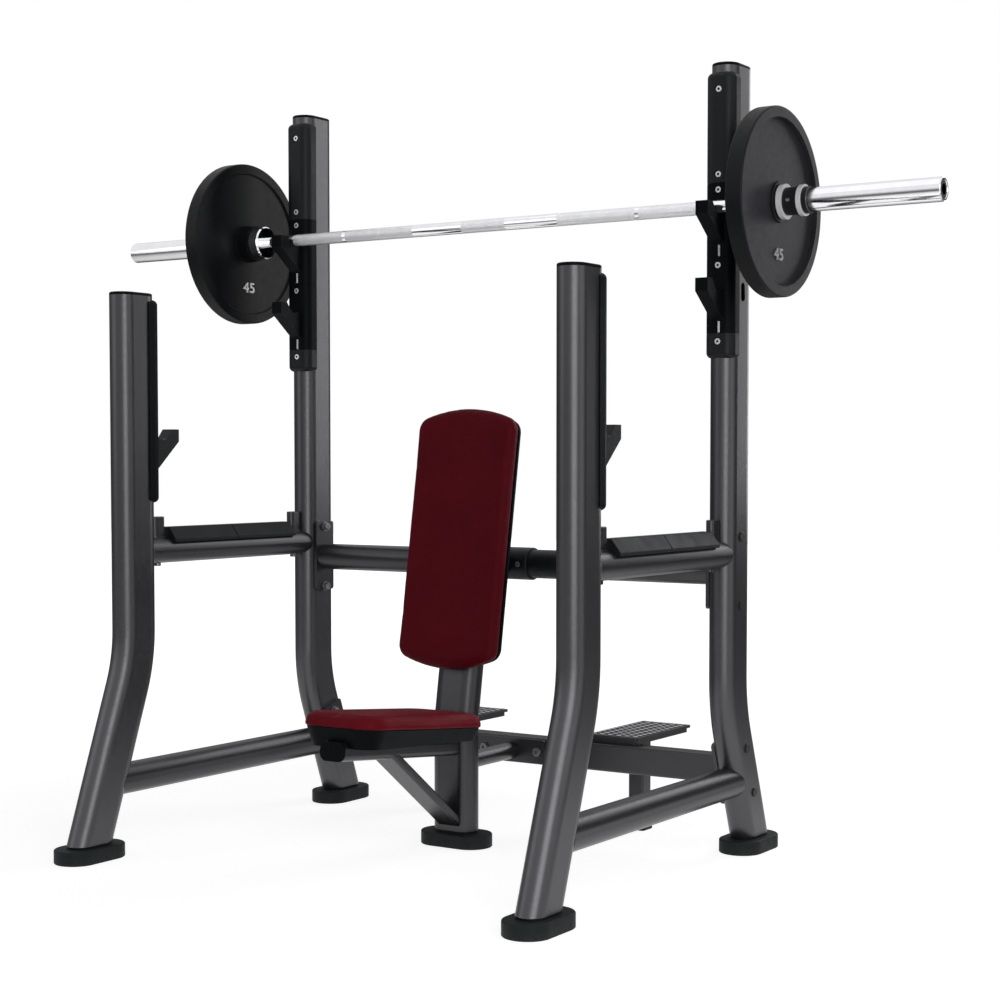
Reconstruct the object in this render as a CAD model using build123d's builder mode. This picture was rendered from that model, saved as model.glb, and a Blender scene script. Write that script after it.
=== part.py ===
"""Olympic seated press bench: uprights with bar hooks, seat, back pad, spotter platforms, loaded barbell.

Millimetres. X runs along the barbell (positive on the right when facing the bench from its seat side),
Y runs from the seat side to the spotter side, Z is up and zero on the floor.
The origin is on the floor, in the middle of the footprint.
"""
from build123d import *
from math import cos, radians, sin, tan
import os

# ---- driving dimensions ------------------------------------------------------------------------
UPRIGHT_X = 584            # centre line of the uprights, each side of the middle
REAR_Y = 281               # centre line of the rear uprights
FRONT_Y = REAR_Y - 645     # centre line of the front uprights
REAR_TOP = 1730            # top of the rear tubes, under the caps
FRONT_TOP = 1247           # top of the front tubes, under the caps
TUBE_W = 62                # flat-oval tube, narrow way
TUBE_D = 109               # flat-oval tube, long way
WALL = 3

REAR_KNEE = 333            # height where the rear leg's straight parts would meet
REAR_LEAN = 20.3           # slant of the rear leg from upright, degrees
FRONT_KNEE = 433
FRONT_LEAN = -19.85
LEG_BEND = 385             # radius of the leg bends

FOOT_LENGTH = 177
FOOT_WIDTH = 99
FOOT_HEIGHT = 31
LEG_BOTTOM = 36            # where the tubes end above the floor

POST_Y = REAR_Y - 209      # centre post
POST_KNEE = 285
RECLINE = 9.5              # lean of the post's upper part and of the back pad, degrees
POST_BEND = 250
POST_TOP = 850

RAIL_Z = 674.5             # upper side rail axis
RAIL_R = 30
LOW_RAIL_Z = 165
LOW_RAIL_W = 60
LOW_RAIL_H = 70
LOW_TRIM = 34              # blunt ends of the lower rails, from the axes of the legs

CROSS_Z = 636.5            # upper cross tube axis
CROSS_R = 32
FLANGE_T = 8
CROSS_BOLTS = (562, 712)   # heights of the bolts through the rear uprights
LOW_CROSS_Z = 189
LOW_CROSS_H = 64
LOW_CROSS_D = 50
LOW_BOLT_PITCH = 110       # along the slant of the leg
SIDE_SLOT_Z = 1246         # slot in the outer wall of a rear upright
SIDE_SLOT_H = 41
SIDE_SLOT_W = 19
BOLT_R = 6

BAR_Y = REAR_Y - 88        # barbell axis on the upper hooks
BAR_Z = 1421.5
SHAFT_R = 14.5
SLEEVE_R = 25
SHOULDER_X = 655           # inner face of the sleeve shoulder
SHOULDER_T = 30
BAR_END = 1100
HOOK_DROP = 163            # from the upper hooks to the lower hooks
CATCH_DROP = 481           # from the upper hooks to the front catches

PLATE_R = 198.7
PLATE_RIM = 38.3
PLATE_OUT = 749.1          # outer face of the rim

os.makedirs("parts", exist_ok=True)
SIDES = (("left", -1), ("right", 1))


def save(part, name):
    """Label a finished piece and write it."""
    part.label = name
    export_step(part, f"parts/{name}.step")


def leg_y(knee, lean, z):
    """How far a leg's slanted centre line has moved from its upright line at height z."""
    return tan(radians(lean)) * (knee - z)


REAR_LEG = (REAR_Y, REAR_TOP, REAR_KNEE, REAR_LEAN)
FRONT_LEG = (FRONT_Y, FRONT_TOP, FRONT_KNEE, FRONT_LEAN)
LOW_CROSS_Y = REAR_Y + leg_y(REAR_KNEE, REAR_LEAN, LOW_CROSS_Z)


# ---- uprights ----------------------------------------------------------------------------------
def upright_body(side, leg, inner=0.0):
    """The bent flat-oval bar of an upright. inner shrinks its section, for the bore."""
    line_y, top, knee, lean = leg
    low = LEG_BOTTOM - 60
    start = (line_y + leg_y(knee, lean, low), low)
    with BuildPart() as body:
        with BuildLine(Plane.YZ.offset(side * UPRIGHT_X)) as path:
            FilletPolyline(start, (line_y, knee), (line_y, top), radius=LEG_BEND)
        section = Plane(origin=path.line @ 0, x_dir=(1, 0, 0), z_dir=path.line % 0)
        with BuildSketch(section):
            SlotOverall(TUBE_D - 2 * inner, TUBE_W - 2 * inner, rotation=90)
        sweep(path=path.line)
        split(bisect_by=Plane.XY.offset(LEG_BOTTOM), keep=Keep.TOP)
    return body.part


def low_flange_plane(x):
    """Plane facing along +X on the slanted rear leg, level with the lower crossmember."""
    lean = radians(REAR_LEAN)
    return Plane(origin=(x, LOW_CROSS_Y, LOW_CROSS_Z), x_dir=(0, cos(lean), sin(lean)), z_dir=(1, 0, 0))


def build_uprights():
    for side_name, side in SIDES:
        for place, leg in (("rear", REAR_LEG), ("front", FRONT_LEG)):
            outer = upright_body(side, leg)
            bore = upright_body(side, leg, WALL)
            with BuildPart() as upright:
                add(outer)
                add(bore, mode=Mode.SUBTRACT)
                if place == "rear":
                    with BuildSketch(Plane.YZ.offset(side * UPRIGHT_X)):
                        with Locations(*[(REAR_Y, z) for z in CROSS_BOLTS]):
                            Circle(BOLT_R + 0.5)
                    extrude(amount=TUBE_W, both=True, mode=Mode.SUBTRACT)
                    with BuildSketch(low_flange_plane(side * UPRIGHT_X)):
                        with GridLocations(0, LOW_BOLT_PITCH, 1, 2):
                            Circle(BOLT_R + 0.5)
                    extrude(amount=TUBE_W, both=True, mode=Mode.SUBTRACT)
                    with BuildSketch(Plane.XZ.offset(-REAR_Y)):
                        with Locations(*[(side * UPRIGHT_X, z) for z in REAR_COVER_BOLTS]):
                            Circle(COVER_BOLT_R + 0.3)
                    extrude(amount=TUBE_D, mode=Mode.SUBTRACT)
                    with BuildSketch(Plane.YZ.offset(side * UPRIGHT_X)):
                        with Locations((REAR_Y, SIDE_SLOT_Z)):
                            SlotOverall(SIDE_SLOT_H, SIDE_SLOT_W, rotation=90)
                    extrude(amount=side * TUBE_W, mode=Mode.SUBTRACT)
                else:
                    with BuildSketch(Plane.XZ.offset(-FRONT_Y)):
                        with Locations(*[(side * UPRIGHT_X, z) for z in FRONT_COVER_BOLTS]):
                            Circle(COVER_BOLT_R + 0.3)
                    extrude(amount=-TUBE_D, mode=Mode.SUBTRACT)
            save(upright.part, f"{place}_upright_{side_name}")


CAP_EDGE = 7
CAP_PLUG = 22


def build_caps():
    """Domed plugs in the tops of the four uprights and of the reclined centre post."""
    lean = radians(RECLINE)
    post_top_y = POST_Y + tan(lean) * (POST_TOP - POST_KNEE)
    tops = [Plane((side * UPRIGHT_X, y, top), x_dir=(0, 1, 0), z_dir=(0, 0, 1))
            for _, side in SIDES for y, top in ((REAR_Y, REAR_TOP), (FRONT_Y, FRONT_TOP))]
    tops.append(Plane((0, post_top_y, POST_TOP), x_dir=(1, 0, 0), z_dir=(0, sin(lean), cos(lean))))
    with BuildPart() as caps:
        for top in tops:
            with BuildSketch(top):
                SlotOverall(TUBE_D, TUBE_W)
            extrude(amount=CAP_EDGE)
            with BuildSketch(top):
                SlotOverall(TUBE_D - 2 * WALL - 0.4, TUBE_W - 2 * WALL - 0.4)
            extrude(amount=-CAP_PLUG)
        crowns = []
        for top in tops:
            crowns += [edge for edge in caps.edges()
                       if abs(top.to_local_coords(edge.center()).Z - CAP_EDGE) < 0.01
                       and (edge.center() - top.origin).length < TUBE_D]
        fillet(crowns, radius=CAP_EDGE / 2)
    save(caps.part, "upright_caps")


def build_foot(name, centre, along):
    """Rubber foot: flat-oval pad with a narrower neck under the tube."""
    with BuildPart() as foot:
        pad = Plane((*centre, 0), x_dir=along, z_dir=(0, 0, 1))
        with BuildSketch(pad):
            SlotOverall(FOOT_LENGTH, FOOT_WIDTH)
        extrude(amount=FOOT_HEIGHT)
        fillet(foot.faces().sort_by(Axis.Z)[-1].edges(), radius=4)
        chamfer(foot.faces().sort_by(Axis.Z)[0].edges(), length=1.5)
        with BuildSketch(pad.offset(FOOT_HEIGHT)):
            SlotOverall(TUBE_D - 8, TUBE_W - 8)
        extrude(amount=LEG_BOTTOM - FOOT_HEIGHT)
    save(foot.part, name)


def build_feet():
    for side_name, side in SIDES:
        for place, (line_y, _, knee, lean) in (("rear", REAR_LEG), ("front", FRONT_LEG)):
            y = line_y + leg_y(knee, lean, LEG_BOTTOM)
            build_foot(f"{place}_foot_{side_name}", (side * UPRIGHT_X, y), (0, 1, 0))
    build_foot("centre_foot", (0, POST_Y), (1, 0, 0))


# ---- side rails --------------------------------------------------------------------------------
LUG_W = 20                 # end stops of the safety rails
LUG_D = 38
LUG_GAP = 5
LUG_TOP = 751
COVER_END_GAP = 9          # between a stop and the wear cover
RAIL_TRIM = 37             # the rail's blunt ends, from the axes of the uprights
RAIL_END_ROUND = 2.4
RAIL_FRONT = FRONT_Y + TUBE_D / 2
RAIL_REAR = REAR_Y - TUBE_D / 2
LUG_YS = (RAIL_FRONT + LUG_GAP + LUG_D / 2, RAIL_REAR - LUG_GAP - LUG_D / 2)


def build_upper_rail(side_name, side):
    """Safety rail: round tube coped onto both uprights, with an upright stop at each end."""
    with BuildPart() as rail:
        with BuildSketch(Plane.XZ.offset(RAIL_TRIM - REAR_Y)):
            with Locations((side * UPRIGHT_X, RAIL_Z)):
                Circle(RAIL_R)
        extrude(amount=REAR_Y - FRONT_Y - 2 * RAIL_TRIM)
        fillet(rail.edges().filter_by(GeomType.CIRCLE), radius=RAIL_END_ROUND)
        for y in LUG_YS:
            base = Plane((side * UPRIGHT_X, y, RAIL_Z), x_dir=(0, 1, 0), z_dir=(0, 0, 1))
            with BuildSketch(base):
                SlotOverall(LUG_D, LUG_W)
            extrude(amount=LUG_TOP - RAIL_Z)
            with BuildSketch(base):
                SlotOverall(LUG_D + 5, LUG_W + 8)
            extrude(amount=RAIL_R + 2)
        fillet(rail.faces().sort_by(Axis.Z)[-2:].edges(), radius=2.5)
        with BuildSketch(Plane.XZ.offset(-REAR_Y)):
            with Locations((side * UPRIGHT_X, RAIL_Z)):
                Circle(RAIL_R - WALL)
        extrude(amount=REAR_Y - FRONT_Y, mode=Mode.SUBTRACT)
        for y in (REAR_Y, FRONT_Y):
            with BuildSketch(Plane((side * UPRIGHT_X, y, RAIL_Z), x_dir=(0, 1, 0), z_dir=(0, 0, 1))):
                SlotOverall(TUBE_D, TUBE_W)
            extrude(amount=2 * RAIL_R, both=True, mode=Mode.SUBTRACT)
        for y in LUG_YS:
            with BuildSketch(Plane.XY.offset(RAIL_Z - RAIL_R - 1)):
                with Locations((side * UPRIGHT_X, y)):
                    Circle(9)
            extrude(amount=2.5, mode=Mode.SUBTRACT)
            with BuildSketch(Plane.XY.offset(RAIL_Z - RAIL_R)):
                with Locations((side * UPRIGHT_X, y)):
                    Circle(4.3)
            extrude(amount=WALL + 4, mode=Mode.SUBTRACT)
    save(rail.part, f"safety_rail_{side_name}")


WEAR_W = 32                # half width of the wear cover
WEAR_LOW = 18              # its lower edge above the rail axis
WEAR_SIDE = 7              # height of its upright sides
WEAR_TOP = 52.5            # its flat top above the rail axis
WEAR_TOP_W = 11            # half width of the flat top


def build_wear_covers(side_name, side):
    """Two moulded covers end to end on top of a safety rail."""
    front = LUG_YS[0] + LUG_D / 2 + COVER_END_GAP
    rear = LUG_YS[1] - LUG_D / 2 - COVER_END_GAP
    length = (rear - front - 2) / 2
    with BuildPart() as covers:
        for y_end in (front + length, rear):
            with BuildSketch(Plane((side * UPRIGHT_X, y_end, RAIL_Z), x_dir=(1, 0, 0), z_dir=(0, -1, 0))):
                with BuildLine():
                    Polyline((-WEAR_W, WEAR_LOW), (-WEAR_W, WEAR_LOW + WEAR_SIDE), (-WEAR_TOP_W, WEAR_TOP),
                             (WEAR_TOP_W, WEAR_TOP), (WEAR_W, WEAR_LOW + WEAR_SIDE), (WEAR_W, WEAR_LOW), close=True)
                make_face()
                Circle(RAIL_R + 0.2, mode=Mode.SUBTRACT)
            extrude(amount=length)
        fillet([edge for edge in covers.edges().filter_by(Axis.Y) if edge.center().Z > RAIL_Z + WEAR_LOW + 1],
               radius=3)
        ends = covers.faces().filter_by(Axis.Y)
        chamfer([edge for edge in ends.edges() if edge.center().Z > RAIL_Z + RAIL_R + 4], length=1.2)
    save(covers.part, f"rail_wear_covers_{side_name}")


def build_lower_rail(side_name, side):
    """Flat-oval rail between the slanted parts of the front and rear legs."""
    front = FRONT_Y + leg_y(FRONT_KNEE, FRONT_LEAN, LOW_RAIL_Z)
    rear = REAR_Y + leg_y(REAR_KNEE, REAR_LEAN, LOW_RAIL_Z)
    front_leg = upright_body(side, FRONT_LEG)
    rear_leg = upright_body(side, REAR_LEG)
    with BuildPart() as rail:
        start = Plane((side * UPRIGHT_X, rear - LOW_TRIM, LOW_RAIL_Z), x_dir=(1, 0, 0), z_dir=(0, -1, 0))
        with BuildSketch(start):
            SlotOverall(LOW_RAIL_H, LOW_RAIL_W, rotation=90)
            SlotOverall(LOW_RAIL_H - 2 * WALL, LOW_RAIL_W - 2 * WALL, rotation=90, mode=Mode.SUBTRACT)
        extrude(amount=rear - front - 2 * LOW_TRIM)
        add(front_leg, mode=Mode.SUBTRACT)
        add(rear_leg, mode=Mode.SUBTRACT)
    save(rail.part, f"lower_side_rail_{side_name}")


# ---- cross members -----------------------------------------------------------------------------
INNER_FACE = UPRIGHT_X - TUBE_W / 2


def build_upper_cross():
    """Round tube between the rear uprights, welded to a bolted flange at each end."""
    with BuildPart() as cross:
        with BuildSketch(Plane.YZ.offset(-INNER_FACE)):
            with Locations((REAR_Y, CROSS_Z)):
                Circle(CROSS_R)
                Circle(CROSS_R - WALL, mode=Mode.SUBTRACT)
        extrude(amount=2 * INNER_FACE)
        for _, side in SIDES:
            with BuildSketch(Plane.YZ.offset(side * (INNER_FACE - FLANGE_T / 2))):
                with Locations((REAR_Y, (CROSS_BOLTS[0] + CROSS_BOLTS[1]) / 2 + 2)):
                    RectangleRounded(68, 172, 7)
                with Locations(*[(REAR_Y, z) for z in CROSS_BOLTS]):
                    Circle(BOLT_R + 0.5, mode=Mode.SUBTRACT)
            extrude(amount=FLANGE_T / 2, both=True)
    save(cross.part, "upper_cross_tube")


SLEEVE_HALF = 78           # black clamp sleeve on the upper cross tube
SLEEVE_OUT = 38.2
NECK_HALF = 200
NECK_OUT = CROSS_R + 1.6


def post_body(inner=0.0):
    """Centre post: wide flat-oval tube, upright below and reclined behind the back pad."""
    slope = tan(radians(RECLINE))
    with BuildPart() as body:
        with BuildLine(Plane.YZ) as path:
            FilletPolyline((POST_Y, LEG_BOTTOM), (POST_Y, POST_KNEE),
                           (POST_Y + slope * (POST_TOP - POST_KNEE), POST_TOP), radius=POST_BEND)
        with BuildSketch(Plane((0, POST_Y, LEG_BOTTOM), x_dir=(1, 0, 0), z_dir=(0, 0, 1))):
            SlotOverall(TUBE_D - 2 * inner, TUBE_W - 2 * inner)
        sweep(path=path.line)
    return body.part


def build_post_clamp():
    """Stepped sleeve on the cross tube, with a stub that carries the top of the centre post."""
    post = post_body()
    with BuildPart() as clamp:
        with BuildSketch(Plane.YZ):
            with Locations((REAR_Y, CROSS_Z)):
                Circle(SLEEVE_OUT)
        extrude(amount=SLEEVE_HALF, both=True)
        rims = clamp.edges().filter_by(GeomType.CIRCLE)
        chamfer(rims, length=2)
        with BuildSketch(Plane.YZ):
            with Locations((REAR_Y, CROSS_Z)):
                Circle(NECK_OUT)
        extrude(amount=NECK_HALF, both=True)
        with BuildSketch(Plane.XZ.offset(-REAR_Y)):
            with Locations((0, CROSS_Z)):
                RectangleRounded(60, 50, 8)
        extrude(amount=REAR_Y - POST_Y - 40)
        with BuildSketch(Plane.YZ):
            with Locations((REAR_Y, CROSS_Z)):
                Circle(CROSS_R + 0.1)
        extrude(amount=NECK_HALF + 5, both=True, mode=Mode.SUBTRACT)
        add(post, mode=Mode.SUBTRACT)
        with BuildSketch(Plane.XZ.offset(-(REAR_Y - SLEEVE_OUT + 4))):
            with Locations(*CLAMP_SCREWS):
                Circle(7.5)
        extrude(amount=10, mode=Mode.SUBTRACT)
        with BuildSketch(Plane.XZ.offset(-REAR_Y)):
            with Locations(*CLAMP_SCREWS):
                Circle(4.1)
        extrude(amount=SLEEVE_OUT, mode=Mode.SUBTRACT)
    save(clamp.part.solids().sort_by(SortBy.VOLUME)[-1], "post_clamp_sleeve")


CLAMP_SCREWS = [(side * 55, CROSS_Z) for _, side in SIDES]


def build_low_cross():
    """Rectangular crossmember low between the rear legs, with a slanted bolted flange at each end."""
    with BuildPart() as cross:
        with BuildSketch(Plane.YZ.offset(-INNER_FACE)):
            with Locations((LOW_CROSS_Y, LOW_CROSS_Z)):
                RectangleRounded(LOW_CROSS_D, LOW_CROSS_H, 6)
                RectangleRounded(LOW_CROSS_D - 2 * WALL, LOW_CROSS_H - 2 * WALL, 3, mode=Mode.SUBTRACT)
        extrude(amount=2 * INNER_FACE)
        for _, side in SIDES:
            with BuildSketch(low_flange_plane(side * (INNER_FACE - FLANGE_T / 2))):
                RectangleRounded(70, LOW_BOLT_PITCH + 40, 7)
                with GridLocations(0, LOW_BOLT_PITCH, 1, 2):
                    Circle(BOLT_R + 0.5, mode=Mode.SUBTRACT)
            extrude(amount=FLANGE_T / 2, both=True)
        with BuildSketch(Plane.XZ.offset(-LOW_CROSS_Y)):
            with Locations(*LINK_BOLTS):
                Circle(BOLT_R + 0.5)
        extrude(amount=LOW_CROSS_D, mode=Mode.SUBTRACT)
    save(cross.part, "lower_crossmember")


LINK_Z = 187
LINK_R = 20
LINK_PLATE_Y = LOW_CROSS_Y - LOW_CROSS_D / 2
LINK_BOLTS = [(side * 75, LOW_CROSS_Z) for _, side in SIDES]


def build_link():
    """Short tube from the centre post back to the lower crossmember, with a bolted plate."""
    with BuildPart() as link:
        with BuildSketch(Plane.XZ.offset(-LINK_PLATE_Y)):
            with Locations((0, LINK_Z)):
                Circle(LINK_R)
                Circle(LINK_R - WALL, mode=Mode.SUBTRACT)
        extrude(amount=LINK_PLATE_Y - POST_Y - TUBE_W / 2)
        with BuildSketch(Plane.XZ.offset(-LINK_PLATE_Y)):
            with Locations((0, LOW_CROSS_Z)):
                RectangleRounded(190, 56, 6)
            with Locations(*LINK_BOLTS):
                Circle(BOLT_R + 0.5, mode=Mode.SUBTRACT)
        extrude(amount=FLANGE_T)
    save(link.part, "post_link_tube")


def build_post():
    outer = post_body()
    bore = post_body(WALL)
    with BuildPart() as post:
        add(outer)
        add(bore, mode=Mode.SUBTRACT)
        with BuildSketch(back_plane()):
            with Locations(*BACK_BOLTS):
                Circle(COVER_BOLT_R + 0.3)
        extrude(amount=-PAD_SHELL_GAP - 20, mode=Mode.SUBTRACT)
    save(post.part, "centre_post")


# ---- seat --------------------------------------------------------------------------------------
SEAT_TILT = 5.7            # the seat rises towards its front, degrees
SEAT_REAR = POST_Y - TUBE_W / 2 - 4
SEAT_LENGTH = 420
SEAT_HALF = 99
SEAT_FRONT_CORNER = 52     # corner radii in plan
SEAT_REAR_CORNER = 28
SEAT_ENDS = (1, -1)        # signs of the front and the rear along the seat plane's x
SEAT_SEAM_REAR = 280       # height of the cushion's underside at the rear edge
SEAT_THICK = 34
SEAT_TOP_ROUND = 24        # rounding of the cushion's upper edge
SEAT_TUBE_W = 62
SEAT_TUBE_H = 39
SEAT_TUBE_REAR = 230       # height of the seat tube's axis at the post
PAN_REAR = 28
PAN_FRONT = 42
PAN_WALL = 5
PAN_TAPER = 20             # slant of the tray's walls, degrees


def seat_plane(length_back, drop):
    """Plane in the seat's tilt; local x runs forward from the rear edge, local y is across."""
    tilt = radians(SEAT_TILT)
    origin = Vector(0, SEAT_REAR - length_back * cos(tilt) + drop * sin(tilt),
                    SEAT_SEAM_REAR + length_back * sin(tilt) + drop * cos(tilt))
    return Plane(origin=origin, x_dir=(0, -cos(tilt), sin(tilt)), z_dir=(0, sin(tilt), cos(tilt)))


def seat_tube_plane():
    """Across the seat tube, at the face of the post, looking forward along the tube."""
    tilt = radians(SEAT_TILT)
    return Plane(origin=(0, POST_Y - TUBE_W / 2, SEAT_TUBE_REAR), x_dir=(1, 0, 0),
                 z_dir=(0, -cos(tilt), sin(tilt)))


SEAT_TUBE_LENGTH = (POST_Y - TUBE_W / 2 - (REAR_Y - 664)) / cos(radians(SEAT_TILT))


def build_seat_tube():
    post = post_body()
    start = seat_tube_plane().offset(-12)
    with BuildPart() as tube:
        with BuildSketch(start):
            RectangleRounded(SEAT_TUBE_W, SEAT_TUBE_H, 12)
            RectangleRounded(SEAT_TUBE_W - 2 * WALL, SEAT_TUBE_H - 2 * WALL, 9, mode=Mode.SUBTRACT)
        extrude(amount=SEAT_TUBE_LENGTH + 12)
        add(post, mode=Mode.SUBTRACT)
    save(tube.part.solids().sort_by(SortBy.VOLUME)[-1], "seat_tube")


def build_seat_plug():
    end = seat_tube_plane().offset(SEAT_TUBE_LENGTH)
    with BuildPart() as plug:
        with BuildSketch(end):
            RectangleRounded(SEAT_TUBE_W + 3, SEAT_TUBE_H + 3, 17)
        extrude(amount=5)
        fillet(plug.faces().sort_by(Axis.Y)[0].edges(), radius=3)
        with BuildSketch(end):
            RectangleRounded(SEAT_TUBE_W - 2 * WALL - 0.4, SEAT_TUBE_H - 2 * WALL - 0.4, 8.5)
        extrude(amount=-20)
    save(plug.part, "seat_tube_plug")


BRACE_ANGLE = 36.8
BRACE_W = 62
BRACE_H = 20


def build_seat_brace():
    """Diagonal flat brace from the foot of the post up to the underside of the seat tube."""
    post = post_body()
    angle = radians(BRACE_ANGLE)
    start = Plane(origin=(0, POST_Y, 38), x_dir=(1, 0, 0), z_dir=(0, -cos(angle), sin(angle)))
    with BuildPart() as tube_room:
        with BuildSketch(seat_tube_plane().offset(-12)):
            RectangleRounded(SEAT_TUBE_W, SEAT_TUBE_H, 12)
            with Locations((0, 60)):
                Rectangle(SEAT_TUBE_W * 2, 120)
        extrude(amount=SEAT_TUBE_LENGTH + 12)
    with BuildPart() as brace:
        with BuildSketch(start):
            RectangleRounded(BRACE_W, BRACE_H, 6)
            RectangleRounded(BRACE_W - 2 * WALL, BRACE_H - 2 * WALL, 3, mode=Mode.SUBTRACT)
        extrude(amount=360)
        add(post, mode=Mode.SUBTRACT)
        add(tube_room.part, mode=Mode.SUBTRACT)
    save(brace.part.solids().sort_by(SortBy.VOLUME)[-1], "seat_brace")


def seat_outline(inset):
    """Plan of the seat on the seat plane, with wider corners at the front; inset shrinks it all round."""
    with BuildSketch(seat_plane(SEAT_LENGTH / 2, 0)) as outline:
        Rectangle(SEAT_LENGTH - 2 * inset, 2 * (SEAT_HALF - inset))
        for group, radius in zip(SEAT_ENDS, (SEAT_FRONT_CORNER, SEAT_REAR_CORNER)):
            corners = [v for v in outline.vertices() if v.X * group > SEAT_LENGTH / 4]
            fillet([v for v in corners if abs(v.Y) > SEAT_HALF - inset - 1], radius=radius - inset)
    return outline.sketch


def build_seat_pan():
    """Tapered moulded tray under the seat cushion, open below over the seat tube."""
    outline = seat_outline(0)
    hollow = seat_outline(PAN_WALL).moved(Location(seat_plane(0, 0).z_dir * -PAN_WALL))
    down = -seat_plane(0, 0).z_dir
    with BuildPart() as tube_room:
        with BuildSketch(seat_tube_plane().offset(-40)):
            RectangleRounded(SEAT_TUBE_W + 4, SEAT_TUBE_H + 4, 13)
            with Locations((0, -40)):
                Rectangle(SEAT_TUBE_W + 4, 80)
        extrude(amount=SEAT_TUBE_LENGTH + 80)
    with BuildPart() as pan:
        extrude(outline, amount=PAN_FRONT, dir=down, taper=PAN_TAPER)
        extrude(hollow, amount=PAN_FRONT, dir=down, taper=PAN_TAPER, mode=Mode.SUBTRACT)
        lean = (PAN_FRONT - PAN_REAR) / SEAT_LENGTH
        low_cut = Plane(origin=seat_plane(0, -PAN_REAR).origin, x_dir=(1, 0, 0),
                        z_dir=(0, sin(radians(SEAT_TILT) - lean), cos(radians(SEAT_TILT) - lean)))
        split(bisect_by=low_cut, keep=Keep.TOP)
        add(tube_room.part, mode=Mode.SUBTRACT)
    save(pan.part, "seat_pan")


def build_seat_cushion():
    up = seat_plane(0, 0).z_dir
    with BuildPart() as cushion:
        extrude(seat_outline(-2).moved(Location(up * 0.3)), amount=SEAT_THICK, dir=up)
        fillet(cushion.faces().sort_by(SortBy.AREA)[-2:].sort_by(Axis.Z)[-1].edges(), radius=SEAT_TOP_ROUND)
    save(cushion.part, "seat_cushion")


# ---- back pad ----------------------------------------------------------------------------------
PAD_W = 263
PAD_CENTRE_Z = 692
PAD_SIDE = 269             # half height at the corners
PAD_CROWN = 298            # half height in the middle
PAD_CORNER = 34
PAD_SHELL_T = 9
PAD_FOAM = 37
PAD_SHELL_GAP = 4.2        # mounting pads between the post and the shell
BACK_BOLTS = [(0, v) for v in (-150, 90)]


def back_plane():
    """Front face of the reclined part of the post, level with the pad's middle; z points forward."""
    lean = radians(RECLINE)
    centre_y = POST_Y + tan(lean) * (PAD_CENTRE_Z - POST_KNEE)
    face = Vector(0, centre_y, PAD_CENTRE_Z) + Vector(0, -cos(lean), sin(lean)) * (TUBE_W / 2)
    return Plane(origin=face, x_dir=(1, 0, 0), z_dir=(0, -cos(lean), sin(lean)))


def pad_block(start, thickness, inset, round_front, name):
    """A layer of the back pad: straight sides, bowed top and bottom edges, rounded corners."""
    half = PAD_W / 2 - inset
    side = PAD_SIDE - inset
    crown = PAD_CROWN - inset
    with BuildPart() as layer:
        with BuildSketch(back_plane().offset(start)) as outline:
            with BuildLine():
                ThreePointArc((-half, side), (0, crown), (half, side))
                Line((half, side), (half, -side))
                ThreePointArc((half, -side), (0, -crown), (-half, -side))
                Line((-half, -side), (-half, side))
            make_face()
            fillet(outline.vertices(), radius=PAD_CORNER - inset)
        extrude(amount=thickness)
        fillet(layer.faces().sort_by(Axis.Y)[0].edges(), radius=round_front)
    save(layer.part, name)


def build_back_pad():
    pad_block(PAD_SHELL_GAP, PAD_SHELL_T, 3, 2, "back_shell")
    pad_block(PAD_SHELL_GAP + PAD_SHELL_T + 0.3, PAD_FOAM, 0, 16, "back_cushion")
    with BuildPart() as mounts:
        with BuildSketch(back_plane()):
            with Locations(*BACK_BOLTS):
                RectangleRounded(44, 90, 6)
                Circle(COVER_BOLT_R + 0.3, mode=Mode.SUBTRACT)
        extrude(amount=PAD_SHELL_GAP)
    save(mounts.part, "back_pad_mounts")


# ---- hooks -------------------------------------------------------------------------------------
COVER_W = 34               # half width of the moulded covers on the noses of the uprights
COVER_FRONT = 62.5         # their front face from the upright's centre line
COVER_SIDE = 22.6          # where their sides end
COVER_CORNER = 22
COVER_BOLT_R = 4
SEAM_EDGE = 0.9            # chamfer where one cover meets the next
HEAD_R = 7
HEAD_DEPTH = 6
SEAMS = (1715, 1477, 1318, 1155, 1101)
REAR_COVER_BOLTS = (1678, 1496, 1463, 1301, 1137)
FRONT_COVER_TOP = 1240
FRONT_COVER_LOW = 784
FRONT_COVER_BOLTS = (1205, 1010, 820)
HOOK_HALF = 15             # half width of a hook arm
HOOK_REACH = 75            # from the cover's face to the tip
HOOK_RISE = 10             # tip above the bar's axis
LIP = 22                   # thickness of the tip at its top
SEAT_R = 15                # round bottom of the bar's slot
TIP_HEIGHT = 28
ARM_DROP = 85              # from the tip down to where the arm meets the cover
CATCH_ARM_DROP = 96


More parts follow.
